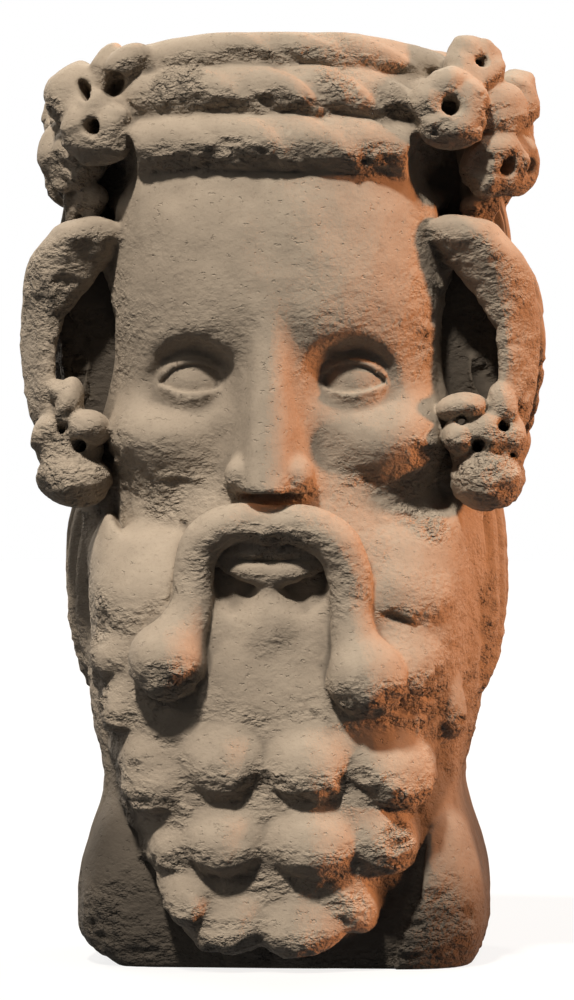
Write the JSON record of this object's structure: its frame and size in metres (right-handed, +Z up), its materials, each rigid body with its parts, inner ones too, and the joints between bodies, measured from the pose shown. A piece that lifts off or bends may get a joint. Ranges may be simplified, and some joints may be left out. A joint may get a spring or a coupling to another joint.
{
  "type": "janus statue",
  "caption": "Carved stone double herm: two bearded, wreathed heads back to back on one squared block that stands on its flat underside.",
  "frame": {"origin": "centre of the underside of the block, on the surface it stands on", "axes": "+Z up, one face looks along -Y and the other along +Y, X runs from side to side"},
  "size_m": [0.2276, 0.2276, 0.3985],
  "materials": {
    "stone": "weathered matte limestone, pitted, with darker patina in the hollows"
  },
  "bodies": {
    "root": {"double_herm": "stone"}
  },
  "joints": []
}
